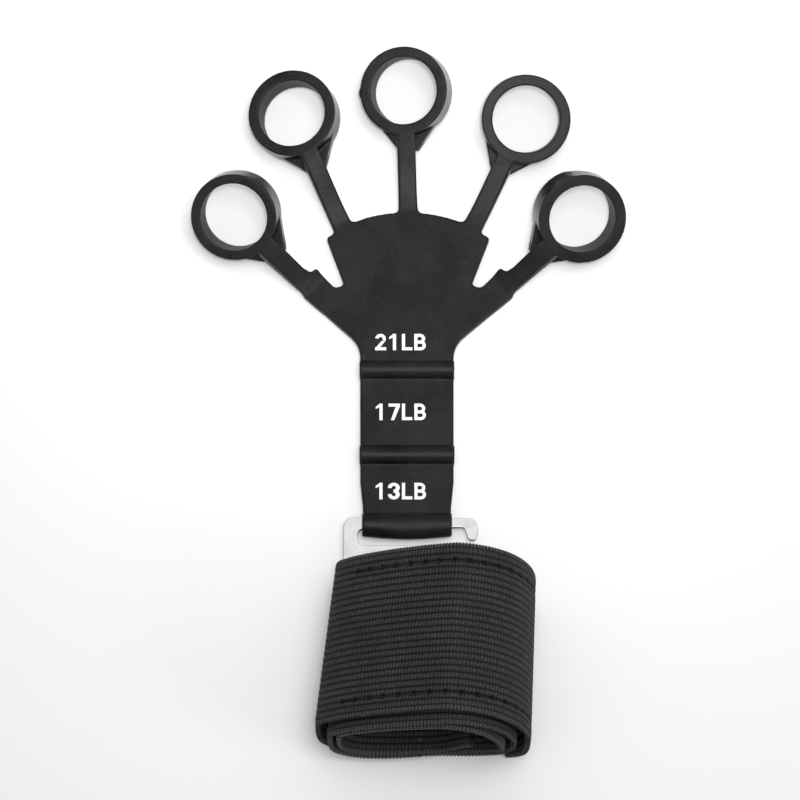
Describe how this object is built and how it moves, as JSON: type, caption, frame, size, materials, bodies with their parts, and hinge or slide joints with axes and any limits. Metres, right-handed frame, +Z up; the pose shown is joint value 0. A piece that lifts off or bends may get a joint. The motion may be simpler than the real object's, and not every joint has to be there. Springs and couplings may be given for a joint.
{
  "type": "finger exerciser",
  "caption": "Elastic hand with finger loops on stretching straps, a neck with tunnels for a steel hook buckle, and a rolled elastic wrist strap.",
  "frame": {"origin": "under the middle of the object's box, on the surface that it lies on", "axes": "+Y towards the finger loops, +Z up out of the palm's printed face, +X to the side of the buckle's open hook"},
  "size_m": [0.1301, 0.2225, 0.0504],
  "materials": {
    "silicone": "matt moulded silicone with a fine grain",
    "print": "flat white ink",
    "steel": "bright stamped steel",
    "elastic": "ribbed woven elastic",
    "webbing": "close woven webbing",
    "hook_tape": "nylon hook tape",
    "thread": "twisted thread"
  },
  "bodies": {
    "palm": {"palm_plate": "silicone", "mark_21lb": "print"},
    "finger_strap_1": {"finger_strap_1": "silicone"},
    "finger_loop_1": {"finger_loop_1": "silicone"},
    "finger_strap_2": {"finger_strap_2": "silicone"},
    "finger_loop_2": {"finger_loop_2": "silicone"},
    "finger_strap_3": {"finger_strap_3": "silicone"},
    "finger_loop_3": {"finger_loop_3": "silicone"},
    "finger_strap_4": {"finger_strap_4": "silicone"},
    "finger_loop_4": {"finger_loop_4": "silicone"},
    "finger_strap_5": {"finger_strap_5": "silicone"},
    "finger_loop_5": {"finger_loop_5": "silicone"},
    "neck_17": {"band_17": "silicone", "mark_17lb": "print"},
    "neck_13": {"band_13": "silicone", "mark_13lb": "print"},
    "buckle": {"hook_buckle": "steel"},
    "strap_roll": {"strap_outer_turn": "elastic", "strap_middle_turn": "elastic", "strap_inner_turn": "elastic", "keeper_tab": "webbing", "hook_tape": "hook_tape", "tape_stitches": "thread"},
    "strap_tail": {"strap_end": "elastic", "hook_tape_end": "hook_tape"}
  },
  "joints": [
    {"name": "finger_flex_1", "type": "hinge", "parent": "palm", "child": "finger_strap_1", "pos_m": [-0.02653, 0.03552, 0.0015], "axis": [0.6109, 0.7917, 0], "range_deg": [-50, 40], "stiffness_Nm_per_rad": 0.02},
    {"name": "finger_stretch_1", "type": "slide", "parent": "finger_strap_1", "child": "finger_loop_1", "axis": [-0.7317, 0.5337, 0.4241], "range_m": [0, 0.025], "stiffness_N_per_m": 470, "deforming": ["finger_strap_1"]},
    {"name": "finger_flex_2", "type": "hinge", "parent": "palm", "child": "finger_strap_2", "pos_m": [-0.01883, 0.05592, 0.0015], "axis": [0.9043, 0.4268, 0], "range_deg": [-50, 40], "stiffness_Nm_per_rad": 0.02},
    {"name": "finger_stretch_2", "type": "slide", "parent": "finger_strap_2", "child": "finger_loop_2", "axis": [-0.4169, 0.8384, 0.3511], "range_m": [0, 0.025], "stiffness_N_per_m": 470, "deforming": ["finger_strap_2"]},
    {"name": "finger_flex_3", "type": "hinge", "parent": "palm", "child": "finger_strap_3", "pos_m": [0.00047, 0.06012, 0.0015], "axis": [0.999, 0.0438, 0], "range_deg": [-50, 40], "stiffness_Nm_per_rad": 0.02},
    {"name": "finger_stretch_3", "type": "slide", "parent": "finger_strap_3", "child": "finger_loop_3", "axis": [-0.0322, 0.9641, 0.2636], "range_m": [0, 0.025], "stiffness_N_per_m": 470, "deforming": ["finger_strap_3"]},
    {"name": "finger_flex_4", "type": "hinge", "parent": "palm", "child": "finger_strap_4", "pos_m": [0.01917, 0.05592, 0.0015], "axis": [0.8816, -0.4719, 0], "range_deg": [-50, 40], "stiffness_Nm_per_rad": 0.02},
    {"name": "finger_stretch_4", "type": "slide", "parent": "finger_strap_4", "child": "finger_loop_4", "axis": [0.4423, 0.8575, 0.2626], "range_m": [0, 0.025], "stiffness_N_per_m": 470, "deforming": ["finger_strap_4"]},
    {"name": "finger_flex_5", "type": "hinge", "parent": "palm", "child": "finger_strap_5", "pos_m": [0.02677, 0.03552, 0.0015], "axis": [0.591, -0.8067, 0], "range_deg": [-50, 40], "stiffness_Nm_per_rad": 0.02},
    {"name": "finger_stretch_5", "type": "slide", "parent": "finger_strap_5", "child": "finger_loop_5", "axis": [0.7444, 0.4983, 0.4446], "range_m": [0, 0.025], "stiffness_N_per_m": 470, "deforming": ["finger_strap_5"]},
    {"name": "neck_flex_17", "type": "hinge", "parent": "palm", "child": "neck_17", "pos_m": [-0.00003, 0.01092, 0.0028], "axis": [-1, 0, 0], "range_deg": [-45, 30], "stiffness_Nm_per_rad": 0.05},
    {"name": "neck_flex_13", "type": "hinge", "parent": "neck_17", "child": "neck_13", "pos_m": [-0.00003, -0.01588, 0.0028], "axis": [-1, 0, 0], "range_deg": [-45, 30], "stiffness_Nm_per_rad": 0.05},
    {"name": "buckle_swing", "type": "hinge", "parent": "neck_13", "child": "buckle", "pos_m": [-0.00003, -0.03798, 0.0035], "axis": [-1, 0, 0], "range_deg": [-60, 45]},
    {"name": "strap_swing", "type": "hinge", "parent": "buckle", "child": "strap_roll", "pos_m": [0.00117, -0.05313, 0.0035], "axis": [-1, 0, 0], "range_deg": [-60, 30]},
    {"name": "end_peel", "type": "hinge", "parent": "strap_roll", "child": "strap_tail", "pos_m": [0.03782, -0.08573, 0.02463], "axis": [-0.0785, -0.9969, 0], "range_deg": [0, 70], "stiffness_Nm_per_rad": 0.02}
  ]
}
